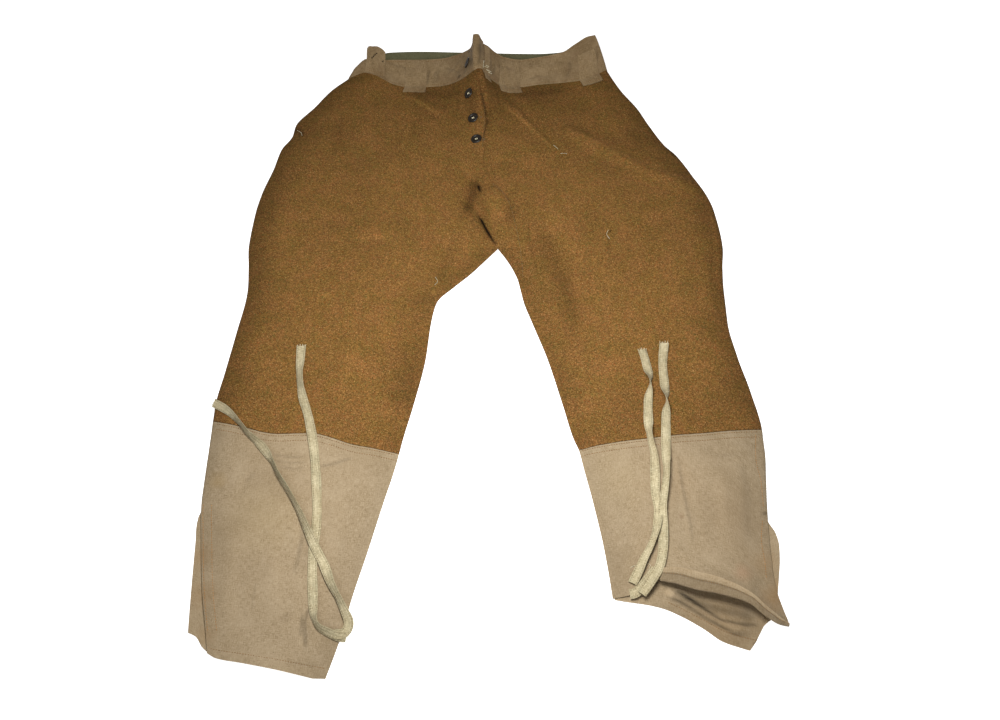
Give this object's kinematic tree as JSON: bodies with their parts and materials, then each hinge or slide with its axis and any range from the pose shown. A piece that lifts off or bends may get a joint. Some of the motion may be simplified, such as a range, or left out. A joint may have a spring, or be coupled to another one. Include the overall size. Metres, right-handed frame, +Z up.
{
  "type": "military breeches",
  "caption": "Flared woollen breeches laid flat, front up: cotton waistband with loops, buttoned fly, cotton calves with tapes.",
  "frame": {"origin": "on the surface that the garment lies on, under the middle of its length and width without the tapes", "axes": "+Y from the hems to the waist, +X to the wearer's left side, +Z up from the surface, out of the front"},
  "size_m": [0.741, 1.0042, 0.0789],
  "materials": {
    "wool": "felted brown heather wool, matt, short nap",
    "calf_cotton": "plain-woven unbleached cotton, matt, worn",
    "band_cotton": "plain-woven cotton, matt, creased",
    "facing": "greenish cotton drill, matt",
    "frayed_facing": "pale cotton, frayed, matt",
    "tape": "pale cotton tape, matt",
    "button": "dark moulded four-hole button, half gloss"
  },
  "bodies": {
    "root": {"front_right": "wool", "front_left": "wool", "back_right": "wool", "back_left": "wool", "crotch_gusset": "wool", "calf_front_right": "calf_cotton", "calf_front_left": "calf_cotton", "calf_back_right": "calf_cotton", "calf_back_left": "calf_cotton", "hem_turned_left": "calf_cotton", "band_front_right": "band_cotton", "band_front_left": "band_cotton", "band_back": "band_cotton", "belt_loop_1": "band_cotton", "belt_loop_2": "band_cotton", "belt_loop_3": "band_cotton", "belt_loop_4": "band_cotton", "tie_right_a": "tape", "tie_right_b": "tape", "tie_left_a": "tape", "tie_left_b": "tape", "button_1": "button", "button_2": "button", "button_3": "button", "button_4": "button", "band_facing": "facing", "fly_facing": "frayed_facing"}
  },
  "joints": []
}
